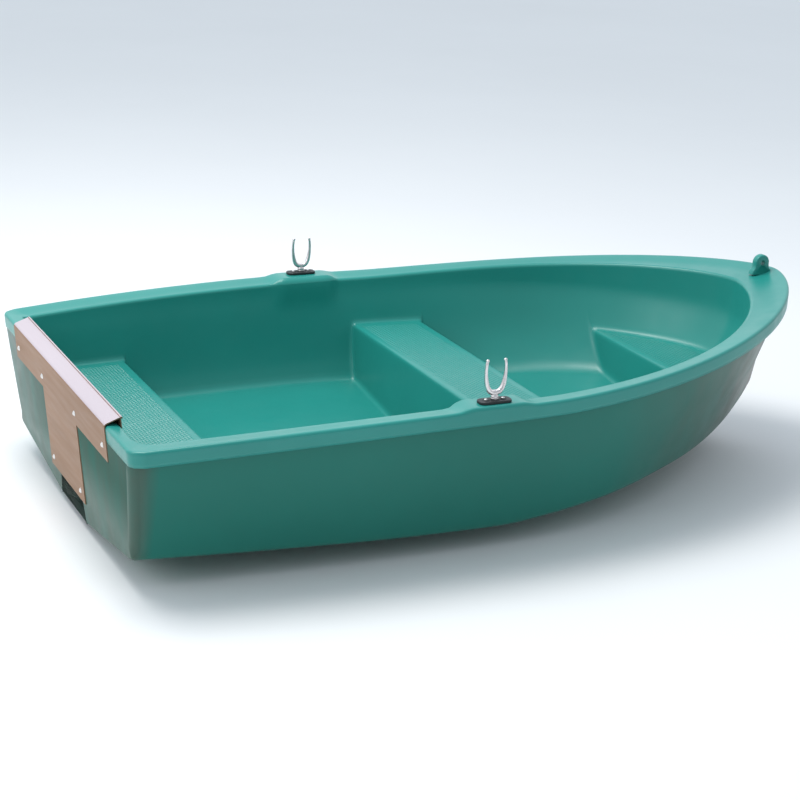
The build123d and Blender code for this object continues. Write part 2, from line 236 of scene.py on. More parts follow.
def outline_y(s, stern, widest, length, fullness):
    run = np.clip((s - ENTRY) / (length - ENTRY), 0, 1)
    return width_at(s, stern, widest) * (1 - run**fullness) ** (2 / 3)


def outline_bow(share, s0, stern, widest, length, fullness):
    """Point of an outline between station s0, at share 0, and the stem, at share 1."""
    w = (1 - ((s0 - ENTRY) / (length - ENTRY)) ** fullness) * (1 - share) ** 1.5
    station = ENTRY + (length - ENTRY) * (1 - w) ** (1 / fullness)
    return station, width_at(s0, stern, widest) * w ** (2 / 3)


def inside_outline(s, y, stern, widest, length, fullness, blunt=14.0):
    """How far a point is inside a plan outline, about."""
    width = width_at(s, stern, widest)
    run = np.maximum((s - ENTRY) / (length - ENTRY), 0)
    round_y = y * y + blunt * blunt
    value = run**fullness + round_y**0.75 / width**1.5 - 1
    slope = np.hypot(
        fullness * run ** (fullness - 1) / (length - ENTRY), 1.5 * y * round_y**-0.25 / width**1.5
    )
    return np.clip(-value / np.maximum(slope, 1e-6), -200, 200)


RIM = (STERN_HALF, HALF_BEAM, LENGTH, RIM_FULLNESS)
# The cockpit's wall, as outlines at heights: half width aft, widest half width, length, fullness.
WALL_Z = (40, 135, 180, 250, 350, 430, 620)
WALL = (
    (536, 548, 560, 570, 580, 588, 592),
    (580, 598, 612, 624, 636, 645, 648),
    (2030, 2090, 2128, 2172, 2225, 2250, 2256),
    (2.0, 2.2, 2.4, 2.7, 2.9, 3.0, 3.0),
)


def wall_shape(z):
    return [through(WALL_Z, values, z) for values in WALL]


def floor_z(s, y):
    return 42 + np.hypot(0.128 * y, 10) + 0.16 * np.maximum(s - THWART_FRONT, 0)


def pad_window(s):
    return smooth((s - 878) / 50) * smooth((1128 - s) / 50)


def rim_inset(s, y, z):
    """How far a point is inside the gunwale's outer face."""
    return round_min(inside_outline(s, y, *RIM, blunt=20.0), s - transom_station(z), STERN_CORNER_R)


def rim_top(s, y, z):
    plain = sheer(s) - RIM_DISH * smooth(rim_inset(s, y, z) / 76)
    pad = pad_window(s) * smooth((y - 560) / 40)
    return plain + pad * (PAD_TOP - plain)


SEATS = (
    (-900.0, STERN_SEAT_FRONT, STERN_SEAT_TOP),
    (THWART_AFT, THWART_FRONT, THWART_TOP),
    (BOW_SEAT_AFT, 3300.0, BOW_SEAT_TOP),
)


PAD_BULGE = 13.0
WALL_CORNER_R, BILGE_R, SEAT_EDGE_R, SEAT_ROOT_R, RIM_EDGE_R = 45.0, 20.0, 9.0, 14.0, 9.0
SEAT_DRAFT = 0.05


def air(s, y, z):
    """Above nought in the cockpit, over the gunwale and outside it; below nought in the moulding."""
    y = np.abs(y)
    side = inside_outline(s, y, *wall_shape(z))
    side = side - PAD_BULGE * pad_window(s) * smooth((z - 350) / 90)
    room = round_min(side, s - transom_station(z, TRANSOM_THICKNESS), WALL_CORNER_R)
    room = round_min(room, z - floor_z(s, y), BILGE_R)
    for aft, front, top in SEATS:
        draft = SEAT_DRAFT * (top - z)
        seat = round_max(np.maximum(aft - draft - s, s - front - draft), z - top, SEAT_EDGE_R)
        room = round_min(room, seat, SEAT_ROOT_R)
    room = round_max(room, z - rim_top(s, y, z), RIM_EDGE_R)
    return round_max(room, -rim_inset(s, y, z), RIM_EDGE_R)


# ---- inner moulding ----
BOW_START = 2000.0
RING_DROP = 62.0
STERN_LEAN, THWART_LEAN, BOW_LEAN = 6, 9, 7
SKIRT_STEPS = (0.5, 2, 4, 6.5, 9.5, 13, 18, 25, 33, SKIRT_DEPTH)
WALL_STEPS = (52, 42, 33, 26, 20, 15, 11, 8, 5, 2.5, 0.5)
RIM_STEPS = np.array([0.4, 2, 4, 6.5, 9.5, 13, 18])
CORNER_START_Y, CORNER_END_STATION = 450.0, 240.0


def liner_columns(fall, foot):
    """Columns of the tub's grid from the transom to the bow.

    Each is a station (None on the transom), a climb up the transom, how far the floor is raised to a
    seat there, and the seat's height.
    """
    columns = [(None, climb, 1.0, STERN_SEAT_TOP) for climb in fall[:-1]]

    def run(start, end, count, raised, top, pull=0.75):
        return [(s, 0.0, raised, top) for s in clustered(start, end, count, pull)[:-1]]

    def step(edge, lean, first, last, count, top):
        return [(edge + lean * (1 - k), 0.0, k, top) for k in clustered(first, last, count)[:-1]]

    columns += run(foot, STERN_SEAT_FRONT, 26, 1.0, STERN_SEAT_TOP)
    columns += step(STERN_SEAT_FRONT, STERN_LEAN, 1, 0, 13, STERN_SEAT_TOP)
    columns += run(STERN_SEAT_FRONT + STERN_LEAN, THWART_AFT - THWART_LEAN, 64, 0.0, 0.0)
    columns += step(THWART_AFT, -THWART_LEAN, 0, 1, 14, THWART_TOP)
    columns += run(THWART_AFT, THWART_FRONT, 24, 1.0, THWART_TOP)
    columns += step(THWART_FRONT, THWART_LEAN, 1, 0, 14, THWART_TOP)
    columns += run(THWART_FRONT + THWART_LEAN, BOW_SEAT_AFT - BOW_LEAN, 46, 0.0, 0.0)
    columns += step(BOW_SEAT_AFT, -BOW_LEAN, 0, 1, 12, BOW_SEAT_TOP)
    last = [(s, 0.0, 1.0, BOW_SEAT_TOP) for s in clustered(BOW_SEAT_AFT, BOW_START, 9, 0.4)]
    return columns + last


def tub_grid(columns, shares, rows, foot):
    """Grid over walls, floor and seats: columns run forward, rows from under the rim to the middle."""
    grid = np.zeros((len(columns) + len(shares), len(rows), 3))
    for i in range(len(grid)):
        bow = i >= len(columns)
        station, drop, raised, top = (BOW_START, 0.0, 1.0, BOW_SEAT_TOP) if bow else columns[i]
        share = shares[i - len(columns)] if bow else 0.0
        for j, (climb, inward) in enumerate(rows):
            s = foot if station is None else station
            y = 0.0
            for _ in range(3):
                low = raised * top + (1 - raised) * floor_z(s, y)
                z = low + max(drop, climb) * (sheer(s) - RING_DROP - low)
                if station is None:
                    s = transom_station(z, TRANSOM_THICKNESS)
                shape = wall_shape(z)
                if bow:
                    ws, wy = outline_bow(share, BOW_START, *shape)
                    centre = BOW_START + (shape[2] - BOW_START) * share
                    s, y = ws + (centre - ws) * inward, wy * (1 - inward)
                else:
                    y = outline_y(s, *shape) * (1 - inward)
            grid[i, j] = s, y, z
    return grid


def wall_line(start, kind, share):
    """Points up the cockpit's wall from the tub's edge to the rim's inner edge."""
    s, y, _ = start
    line = [start]
    for depth in WALL_STEPS:
        height = sheer(s) - RIM_DISH - depth
        shape = wall_shape(height)
        if kind == "stern":
            line.append((transom_station(height, TRANSOM_THICKNESS), y, height))
        elif kind == "side":
            line.append((s, outline_y(s, *shape), height))
        else:
            line.append((*outline_bow(share, BOW_START, *shape), height))
    return line


def rim_outer_point(start, kind, share, last_stern_y):
    """Point of the rim's outline, in plan, that faces a point of the tub's edge."""
    s, y, _ = start
    half_corner = STERN_CORNER_R * (1 - math.sqrt(0.5))
    if kind == "stern":
        stretch = (STERN_HALF - half_corner - CORNER_START_Y) / (last_stern_y - CORNER_START_Y)
        outer_y = y if y < CORNER_START_Y else CORNER_START_Y + (y - CORNER_START_Y) * stretch
        over = max(0.0, outer_y - (STERN_HALF - STERN_CORNER_R))
        return np.array([STERN_CORNER_R - math.sqrt(STERN_CORNER_R**2 - over**2), outer_y])
    if kind == "side":
        stretch = (CORNER_END_STATION - half_corner) / (CORNER_END_STATION - TRANSOM_THICKNESS)
        outer_s = s if s > CORNER_END_STATION else half_corner + (s - TRANSOM_THICKNESS) * stretch
        back = max(0.0, STERN_CORNER_R - outer_s)
        outer_y = outline_y(outer_s, *RIM) - STERN_CORNER_R + math.sqrt(STERN_CORNER_R**2 - back**2)
        return np.array([outer_s, outer_y])
    return np.array(outline_bow(share, BOW_START, *RIM))


def liner_shell():
    fall = clustered(1, 0, 15)
    across = 1 - clustered(1, 0, 46, 0.5)
    foot = transom_station(STERN_SEAT_TOP, TRANSOM_THICKNESS)
    columns = liner_columns(fall, foot)
    shares = np.linspace(0, 1, 34)[1:]
    rows = [(climb, 0.0) for climb in fall[:-1]] + [(0.0, inward) for inward in across]
    grid = tub_grid(columns, shares, rows, foot)
    shell = Shell()
    shell.grid(grid)
    first = len(fall) - 1
    edge = [grid[0, j] for j in range(len(rows) - 1, first, -1)] + [grid[0, first]]
    edge += [grid[i, 0] for i in range(first + 1, len(grid))]
    kinds = ["stern"] * (len(rows) - first) + ["side"] * (len(columns) - first - 1)
    kinds += ["bow"] * len(shares)
    last_stern_y = edge[len(rows) - first - 1][1]
    ring = []
    for k, (start, kind) in enumerate(zip(edge, kinds)):
        share = shares[k - len(edge) + len(shares)] if kind == "bow" else 0.0
        line = wall_line(start, kind, share)
        inner = np.array(line[-1][:2])
        outer = rim_outer_point(start, kind, share, last_stern_y)
        span = np.linalg.norm(outer - inner)
        parts = np.sort(np.concatenate([RIM_STEPS / span, [0.36, 0.5, 0.64], 1 - RIM_STEPS / span]))
        for part in parts:
            p = inner + (outer - inner) * part
            line.append((p[0], p[1], float(rim_top(p[0], p[1], sheer(start[0])))))
        for depth in SKIRT_STEPS:
            z = float(sheer(outer[0])) - depth
            rake_share = 1 if kind == "stern" else float(np.exp(-outer[0] / 40))
            line.append((outer[0] + float(transom_station(z)) * rake_share, outer[1], z))
        ring.append(line)
    shell.grid(np.array(ring)[::-1])
    points, faces = shell.welded()
    bottom = sheer(points[:, 0]) - SKIRT_DEPTH
    at_lip = points[:, 2] < bottom + 0.6
    lip = at_lip & (rim_inset(points[:, 0], np.abs(points[:, 1]), points[:, 2]) < 6)
    moved = projected(points, air)
    moved[lip, 2] = points[lip, 2]
    return mirrored(moved, faces)


liner_points, liner_faces = liner_shell()
liner = mesh_object("liner_moulding", to_world(liner_points), liner_faces)
fix_normals(liner, weld=None)


# ---- outer moulding ----
# Chine as stations, half widths and heights; keel as stations and heights; the top edge as an outline.
CHINE = (
    (0, 250, 480, 800, 1086, 1250, 1429, 1600, 1775, 1890, 2020, 2177, 2270, 2313, 2332),
    (566, 590, 605, 616, 619, 609, 586, 535, 462, 398, 311, 184, 100, 56, 0),
    (93, 85, 78, 68, 65, 75, 93, 110, 129, 140, 156, 179, 193, 201, 208),
)
KEEL = (
    (0, 200, 420, 1850, 1950, 2050, 2130, 2200, 2240, 2275, 2305, 2332),
    (21, 8, 0, 0, 5, 17, 34, 60, 82, 110, 150, 208),
)
HULL_TOP = (650.0, 705.0, 2402.0, 2.48)
TUNNEL_ROOF_HALF, TUNNEL_FOOT_HALF, TUNNEL_ROOF, TUNNEL_END = 104.0, 124.0, 85.0, 620.0


BOW_SWEEP_START, KEEL_SWEEP_START = 1600, 1850
BILGE_INSET, STERN_EDGE_R, HULL_START = 18.0, 26.0, 70.0


def along(curve, share):
    """Points at shares of the length of a smoothed 3-D line, given as rows of coordinates."""
    knots = np.array(curve, float).T
    steps = np.linalg.norm(np.diff(knots, axis=0), axis=1)
    length = np.concatenate([[0], np.cumsum(steps)])
    return np.stack([through(length, column, share * length[-1]) for column in knots.T], -1)


def hull_column(s, share):
    """Keel, chine and top of the port side at station s, or at a share of the way round the bow."""
    if share is None:
        keel = np.array([s, 0, through(*KEEL, s)])
        chine = np.array([s, through(CHINE[0], CHINE[1], s), through(CHINE[0], CHINE[2], s)])
        top = np.array([s, outline_y(s, *HULL_TOP), float(sheer(s)) - RIM_DISH])
        return keel, chine, top
    bow = CHINE[0].index(BOW_SWEEP_START)
    rise = KEEL[0].index(KEEL_SWEEP_START)
    level = KEEL[1][rise]
    stations = (BOW_SWEEP_START, *KEEL[0][rise:])
    keel = along((stations, (0,) * len(stations), (level, *KEEL[1][rise:])), share)
    chine = along([row[bow:] for row in CHINE], share)
    top_s, top_y = outline_bow(share, BOW_SWEEP_START, *HULL_TOP)
    return keel, chine, np.array([top_s, top_y, float(sheer(top_s)) - RIM_DISH])


def hull_profile(keel, chine, top, roof):
    """Port half of a section, from the keel over the chine to the hidden top edge."""
    zone = np.array([0, 40, 75, 98, TUNNEL_ROOF_HALF, 108, 113, 118, 122, TUNNEL_FOOT_HALF, 130, 145])
    zone = zone * min(1.0, chine[1] / 320)
    flat, knee = 0.17, 0.05
    bottom = chine[1] - BILGE_INSET * min(1.0, chine[1] / 90)
    ys = np.concatenate([zone, zone[-1] + (bottom - zone[-1]) * clustered(0, 1, 17, 0.5)[1:]])
    across = ys / max(chine[1], 1e-6)
    rise = np.hypot(np.maximum(across - flat, 0), knee) - knee
    rise = rise / (math.hypot(1 - flat, knee) - knee)
    points = keel + across[:, None] * (chine - keel)
    points[:, 2] = keel[2] + (chine[2] - keel[2]) * rise
    wall = smooth((TUNNEL_FOOT_HALF - ys) / (TUNNEL_FOOT_HALF - TUNNEL_ROOF_HALF))
    points[:, 2] += np.maximum(roof - points[:, 2], 0) * wall
    side = top - chine
    lift = BILGE_INSET / np.linalg.norm(side)
    shares = lift + (1 - lift) * clustered(0, 1, 16, 0.3)
    up = chine + shares[:, None] * side
    up[:, 1] += 5 * np.sin(np.pi * shares) * min(1.0, chine[1] / 300)
    t = np.linspace(0, 1, 7)[1:-1, None]
    bend = (1 - t) ** 2 * points[-1] + 2 * t * (1 - t) * chine + t * t * up[0]
    return np.concatenate([points, bend, up])


def transom_rings():
    """Rings that round the hull's stern edge, from the transom's outer face forward."""
    first = hull_profile(*hull_column(40.0, None), TUNNEL_ROOF)
    tangent = np.gradient(first[:, 1:], axis=0)
    normal = np.stack([-tangent[:, 1], tangent[:, 0]], -1)
    normal /= np.linalg.norm(normal, axis=1)[:, None]
    normal[0] = 0, 1
    least_r = 7
    r = least_r + (STERN_EDGE_R - least_r) * smooth((first[:, 2] - 95) / 30)
    rings = []
    for angle in np.radians([90, 78, 66, 54, 42, 30, 18, 8, 0]):
        ring = first.copy()
        ring[:, 1:] += normal * (r * (1 - math.cos(angle)))[:, None]
        ring[0, 1] = 0
        ring[:, 0] = RAKE * (RIM_Z - ring[:, 2]) + r * (1 - math.sin(angle))
        ring[:, 0] += 6.5 * smooth((ring[:, 2] - (RIM_Z - SKIRT_DEPTH)) / 3)
        rings.append(ring)
    return rings


def hull_shell():
    stations = clustered(HULL_START, BOW_SWEEP_START, 74, 0.3)
    profiles = []
    for s in stations:
        fade = np.clip((s - 38) / (TUNNEL_END - 38), 0, 1) ** 1.4
        roof = TUNNEL_ROOF * (1 - fade) if s < TUNNEL_END else -99
        profiles.append(hull_profile(*hull_column(s, None), roof))
    for share in clustered(0, 1, 50, 0.35)[1:]:
        profiles.append(hull_profile(*hull_column(0, share), -99))
    profiles = np.array(profiles)
    rings = transom_rings()
    fade = np.exp(-np.maximum(stations - HULL_START, 0) / 90)[:, None]
    start = rings[-1][:, 0][None, :]
    profiles[: len(stations), :, 0] += (start + 4 - profiles[0, :, 0]) * fade
    shell = Shell()
    shell.grid(np.concatenate([np.array(rings), profiles]))
    points, faces = shell.welded()
    return points, faces, rings[0]


hull_points, hull_faces, transom_edge = hull_shell()


def hull_mesh():
    """Both halves of the outer moulding, closed by a flat transom up to the skirt's foot."""
    points, faces = mirrored(hull_points, hull_faces)
    upper = RIM_Z - SKIRT_DEPTH
    loop = [p for p in transom_edge if p[2] < upper - 1]
    last = loop[-1].copy()
    loop = loop + [np.array([RAKE * (RIM_Z - upper), last[1] + 0.1, upper])]
    outline = loop[::-1] + [p * (1, -1, 1) for p in loop[1:]]
    start = len(points)
    points = np.concatenate([points, outline])
    faces = faces + [list(range(start, start + len(outline)))]
    obj = mesh_object("hull_moulding", to_world(points), faces)
    fix_normals(obj, weld=2e-5)
    return obj


hull = hull_mesh()


# ---- small parts ----
def placed(obj, matrix):
    obj.data.transform(matrix)
    return obj


def axis_frame(origin, along_axis, across=(0, 1, 0)):
    """Matrix that takes local Z to an axis and local X close to another, at a point in metres."""
    z = Vector(along_axis).normalized()
    y = z.cross(Vector(across)).normalized()
    x = y.cross(z)
    matrix = Matrix((x, y, z)).transposed().to_4x4()
    matrix.translation = Vector(origin)
    return matrix


def lathe(name, profile, segments=32):
    """Mesh turned about Z from (radius, height) points in millimetres."""
    shell = Shell()
    turns = np.linspace(0, 2 * math.pi, segments + 1)
    profile = np.array(profile, float)
    grid = np.zeros((len(profile), len(turns), 3))
    grid[..., 0] = profile[:, :1] * np.cos(turns)
    grid[..., 1] = profile[:, :1] * np.sin(turns)
    grid[..., 2] = profile[:, 1:]
    shell.grid(grid)
    points, faces = shell.welded()
    obj = mesh_object(name, points / 1000, faces)
    fix_normals(obj)
    return obj


def tube(name, path, radii, segments=20):
    """Closed tube of changing radius along a path of points in millimetres."""
    path, radii = np.array(path, float), np.array(radii, float)
    tangent = np.gradient(path, axis=0)
    tangent /= np.linalg.norm(tangent, axis=1)[:, None]
    side = np.array([0.0, 1.0, 0.0])
    turns = np.linspace(0, 2 * math.pi, segments, endpoint=False)
    points, faces = [], []
    for p, t, r in zip(path, tangent, radii):
        u = np.cross(side, t)
        u /= np.linalg.norm(u)
        points += [p + r * (math.cos(a) * u + math.sin(a) * side) for a in turns]
    for ring in range(len(path) - 1):
        for k in range(segments):
            a, b = ring * segments + k, ring * segments + (k + 1) % segments
            faces.append((a, b, b + segments, a + segments))
    last = (len(path) - 1) * segments
    faces += [tuple(range(segments))[::-1], tuple(range(last, last + segments))]
    obj = mesh_object(name, np.array(points) / 1000, faces)
    fix_normals(obj)
    return obj


def prism(name, outline, low, high):
    """Upright prism over an outline in millimetres."""
    count = len(outline)
    points = [(x, y, low) for x, y in outline] + [(x, y, high) for x, y in outline]
    faces = [tuple(range(count))[::-1], tuple(range(count, 2 * count))]
    faces += [(k, (k + 1) % count, (k + 1) % count + count, k + count) for k in range(count)]
    obj = mesh_object(name, np.array(points, float) / 1000, faces)
    fix_normals(obj)
    return obj


def bevelled(obj, width, segments=3, angle=30):
    modifier = obj.modifiers.new("edge", "BEVEL")
    modifier.width = width / 1000
    modifier.segments = segments
    modifier.limit_method = "ANGLE"
    modifier.angle_limit = math.radians(angle)
    modifier.harden_normals = True
    return apply_modifiers(obj)


def stadium(half_x, half_y, radius, steps=8):
    """Outline of a rectangle with rounded corners."""
    outline = []
    for side_x, side_y, start in ((1, 1, 0), (-1, 1, 90), (-1, -1, 180), (1, -1, 270)):
        centre_x, centre_y = side_x * (half_x - radius), side_y * (half_y - radius)
        for k in range(steps + 1):
            a = math.radians(start + 90 * k / steps)
            outline.append((centre_x + radius * math.cos(a), centre_y + radius * math.sin(a)))
    return outline


def world_point(s, y, z):
    return Vector(((s - MIDSHIP) / 1000, y / 1000, z / 1000))


# ---- motor plate: T-shaped sheet with a fold over the transom ----
PLATE_THICKNESS, PLATE_OFFSET = 3.0, 25.0
BAND_HALF, BAND_DEPTH, LEG_HALF, LEG_FOOT = 475.0, 100.0, 175.0, 338.0
AFT = Vector((-1 / RAKE_LENGTH, 0, -RAKE / RAKE_LENGTH))


def on_transom(down, y, depth):
    """Point a distance down the transom, at a depth forward of its outer face."""
    s = RAKE / RAKE_LENGTH * down + depth / RAKE_LENGTH
    z = RIM_Z - down / RAKE_LENGTH + depth * RAKE / RAKE_LENGTH
    return s, y, z


def fold_profile():
    """Centre line of the sheet in (station, height), from the band's foot to the fold's edge."""
    half = PLATE_THICKNESS / 2
    line = [on_transom(d, 0, -half)[::2] for d in (BAND_DEPTH, 75, 50, 25, 8, 3)]
    corner = np.array((-1.3, 428.6))
    edge = np.array((43.6, 445.4))
    start = np.array(line[-1])
    out = corner + (edge - corner) * 0.13
    for t in (0.2, 0.4, 0.6, 0.8, 1.0):
        line.append(tuple((1 - t) ** 2 * start + 2 * t * (1 - t) * corner + t * t * out))
    line += [tuple(out + (edge - out) * t) for t in (0.33, 0.66, 0.93)]
    line += [(45.0, 445.3), (45.6, 443.8), (45.4, 441.0)]
    return line


def motor_plate_mesh():
    half = PLATE_THICKNESS / 2
    ys = [-BAND_HALF, -400, -300, -LEG_HALF, -90, 0, 90, LEG_HALF, 300, 400, BAND_HALF]
    profile = fold_profile()
    shell = Shell()
    shell.grid(np.array([[(s, y + PLATE_OFFSET, z) for y in ys] for s, z in profile]))
    downs = (BAND_DEPTH, 160, 220, 280, LEG_FOOT)
    shell.grid(np.array([[on_transom(d, y + PLATE_OFFSET, -half) for y in ys[3:8]] for d in downs]))
    points, faces = shell.welded()
    obj = mesh_object("motor_plate_sheet", to_world(points), faces, False)
    fix_normals(obj)
    solid = obj.modifiers.new("skin", "SOLIDIFY")
    solid.thickness = PLATE_THICKNESS / 1000
    solid.offset = 0
    solid.use_even_offset = True
    outer = apply_modifiers(obj)
    outer.data.polygons.foreach_set("use_smooth", [True] * len(outer.data.polygons))
    outer = bevelled(outer, 0.7, 2, 40)
    inner = prism("inner_leaf", stadium(BAND_HALF, 55, 6), -half, half)
    inner = bevelled(inner, 0.6, 2, 40)
    spot = on_transom(35, PLATE_OFFSET, TRANSOM_THICKNESS + half)
    placed(inner, axis_frame(world_point(*spot), AFT))
    return joined("motor_plate_sheet", [outer, inner])


BOLT_SPOTS_TOP = [(PLATE_OFFSET + y, 63 if abs(y) > 300 else 67) for y in (-440, -170, 170, 440)]
BOLT_SPOTS_LOW = [(PLATE_OFFSET + y, 308) for y in (-140, 140)]
DOME = [
    (0, 4.9), (1.6, 4.8), (3.3, 4.3), (4.9, 3.5), (6.2, 2.4), (7.0, 1.3), (7.3, 0.5), (7.9, 0.45), (8, 0.2),
    (8, 0),
]


def bolt_head(name, spot, shank):
    profile = DOME + [(4, 0), (4, -shank + 1), (3.2, -shank), (0, -shank)]
    y, down = spot
    obj = lathe(name, profile, 28)
    return placed(obj, axis_frame(world_point(*on_transom(down, y, -PLATE_THICKNESS)), AFT))


def hex_nut(name, spot, depth):
    """Nut with rounded corners on the cockpit's side of the transom."""
    y, down = spot
    radius, height = 7.5, 6.8
    turns = [math.radians(60 * k) for k in range(6)]
    outline = [(radius * math.cos(a), radius * math.sin(a)) for a in turns]
    obj = bevelled(prism(name, outline, -height, 0), 0.9, 3, 40)
    return placed(obj, axis_frame(world_point(*on_transom(down, y, depth)), AFT))


def washer(name, spot, depth):
    y, down = spot
    profile = [(4.2, 0), (8.7, 0), (9.0, -0.3), (9.0, -1.3), (8.7, -1.6), (4.2, -1.6), (4.2, 0)]
    obj = lathe(name, profile, 32)
    return placed(obj, axis_frame(world_point(*on_transom(down, y, depth)), AFT))


INNER_FACE = TRANSOM_THICKNESS + PLATE_THICKNESS
plate = motor_plate_mesh()
bolts_top = joined("plate_bolt_heads_top", [bolt_head("b", spot, 58.0) for spot in BOLT_SPOTS_TOP])
bolts_low = joined("plate_bolt_heads_low", [bolt_head("b", spot, 42.0) for spot in BOLT_SPOTS_LOW])
nuts = joined("plate_nut_set", [hex_nut("n", spot, INNER_FACE + 1.6) for spot in BOLT_SPOTS_TOP])
washers = joined("plate_washer_set", [washer("w", spot, INNER_FACE) for spot in BOLT_SPOTS_TOP])

# ---- lug on the foredeck and the seats' tread ----
EYE_STATION, EYE_R, EYE_Z, EYE_HOLE_R, EYE_THICKNESS = 2348.0, 26.0, 588.0, 9.0, 24.0


def eye_point(degrees, y):
    """Point of the lug's bore, at an angle from aft over the top."""
    a = math.radians(degrees)
    return EYE_STATION - EYE_HOLE_R * math.cos(a), y, EYE_Z + EYE_HOLE_R * math.sin(a)


def lug_arch(grow, y):
    """Outline of the lug in a plane: a flared root, a half circle and the other root."""
    radius = EYE_R + grow
    turns = [math.radians(a) for a in np.linspace(0, 180, 25)]
    arc = [(radius * math.cos(a), EYE_Z + radius * max(math.sin(a), 0)) for a in turns]
    root = ((8, 0), (16, 1.5), (22, 5), (27, 10), (38, 12))
    flare = [(arc[-1][0] - out, EYE_Z - down) for down, out in root]
    line = [(-x, z) for x, z in flare[::-1]] + arc + flare
    return np.array([(EYE_STATION - x, y, z) for x, z in line])


def lug_mesh():
    """Upright lug with a round top, a bore along Y and a root that flares into the deck."""
    half = EYE_THICKNESS / 2
    shell = Shell()
    rounding = ((-4, 0), (-1.2, 1.2), (0, 4))
    profile = [(grow, depth - half) for grow, depth in rounding]
    profile += [(grow, half - depth) for grow, depth in rounding[::-1]]
    shell.grid(np.array([lug_arch(grow, y) for grow, y in profile]))
    for y in (-half, half):
        edge = lug_arch(-4, y)
        ring = np.array([eye_point(-60 + 300 * part, y) for part in np.linspace(0, 1, len(edge))])
        shell.grid(np.array([edge, ring]))
        bore = np.linspace(-90, 270, 49)
        shell.grid(np.array([[eye_point(a, y) for a in bore], [eye_point(a, 0) for a in bore]]))
        under = [ring[-1], *(eye_point(a, y) for a in (255, 270, 285)), ring[0]]
        foot = [edge[-1] + (edge[0] - edge[-1]) * part for part in (0, 0.25, 0.5, 0.75, 1)]
        shell.grid(np.array([foot, under]))
    points, faces = shell.welded()
    obj = mesh_object("lug", to_world(points), faces)
    fix_normals(obj)
    return obj


TREAD_PITCH_S, TREAD_PITCH_Y, TREAD_HEIGHT = 20.0, 13.0, 1.1
TREAD_HALF_S, TREAD_HALF_Y = 7.6, 4.4
TREAD_MARGIN, TREAD_REACH = 34.0, 640.0


def diamond(s, y, top):
    """Points of a low frustum: a buried ring, a ring at the seat and a small ring above it."""
    points = []
    for scale, z in ((1.0, top - 0.4), (0.95, top + 0.1), (0.45, top + TREAD_HEIGHT)):
        a, b = TREAD_HALF_S * scale, TREAD_HALF_Y * scale
        points += [(s + a, y, z), (s, y + b, z), (s - a, y, z), (s, y - b, z)]
    return points


def tread_mesh():
    """Rows of small raised diamonds on the three seats."""
    sides = [(r + n, r + (n + 1) % 4, r + 4 + (n + 1) % 4, r + 4 + n) for r in (0, 4) for n in range(4)]
    diamond_faces = sides + [(8, 9, 10, 11)]
    points, faces = [], []
    for low, high, top in (
        (90, STERN_SEAT_FRONT - 26, STERN_SEAT_TOP),
        (THWART_AFT + 26, THWART_FRONT - 26, THWART_TOP),
        (BOW_SEAT_AFT + 26, 2170, BOW_SEAT_TOP),
    ):
        reach = int(TREAD_REACH / TREAD_PITCH_Y)
        for row in range(int((high - low) / TREAD_PITCH_S * 2) + 1):
            s = low + row * TREAD_PITCH_S / 2
            for k in range(-reach, reach + 1):
                y = (k + 0.5 * (row % 2)) * TREAD_PITCH_Y
                if float(inside_outline(s, abs(y), *wall_shape(top))) < TREAD_MARGIN:
                    continue
                start = len(points)
                points += diamond(s, y, top)
                faces += [tuple(start + v for v in face) for face in diamond_faces]
    return mesh_object("tread", to_world(points), faces, False)


lug = lug_mesh()
tread = tread_mesh()


def thickened(obj, depth):
    solid = obj.modifiers.new("skin", "SOLIDIFY")
    solid.thickness = depth / 1000
    solid.offset = -1
    return apply_modifiers(obj)


hull = thickened(hull, SKIN)
liner = joined("liner_moulding", [thickened(liner, SKIN), lug, tread])

# ---- oarlocks ----
BASE_TOP = PAD_TOP + 10.0
HORN_FOOT = BASE_TOP + 4.1
SCREW_OFFSET, BUSH_FOOT = 26, 433.0


def base_mesh(side):
    """Moulded base: a rounded block with a boss for the bush and a cup round each screw."""
    outline = stadium(48.5, 20, 15)
    body = bevelled(prism("base", outline, 0, 8.2), 2.4, 4, 40)
    profile = [(0, 7.9), (8.0, 7.9), (8.0, 9.6), (8.4, 10), (13, 10), (15, 9.6), (17.5, 8.2), (17.5, 7.6)]
    boss = lathe("boss", profile, 40)
    cups = []
    for end in (-1, 1):
        profile = [(0, 8.0), (5.4, 8.0), (5.7, 9.5), (6.2, 10), (8.2, 10), (9.2, 9.6), (10.4, 8.1)]
        cup = lathe("cup", profile, 32)
        cups.append(placed(cup, Matrix.Translation((end * SCREW_OFFSET / 1000, 0, 0))))
    obj = joined("base", [body, boss] + cups)
    return placed(obj, Matrix.Translation(world_point(OARLOCK_STATION, side * OARLOCK_Y, PAD_TOP)))


def pan_screws(side):
    """Two screws with domed heads, each with a raised cross."""
    profile = [
        (0, 2.4), (1.2, 2.4), (3.2, 2.1), (4.4, 1.4), (5.0, 0.4), (5.0, 0), (2.4, 0), (2.4, -32), (1.2, -34),
        (0, -34),
    ]
    screws = []
    for end in (-1, 1):
        screw = lathe("screw", profile, 28)
        cross = [prism("bar", stadium(x, y, 0.3, 3), 2.15, 2.62) for x, y in ((2.6, 0.45), (0.45, 2.6))]
        spot = world_point(OARLOCK_STATION + end * SCREW_OFFSET, side * OARLOCK_Y, BASE_TOP)
        screws.append(placed(joined("screw", [screw] + cross), Matrix.Translation(spot)))
    return joined("screws", screws)


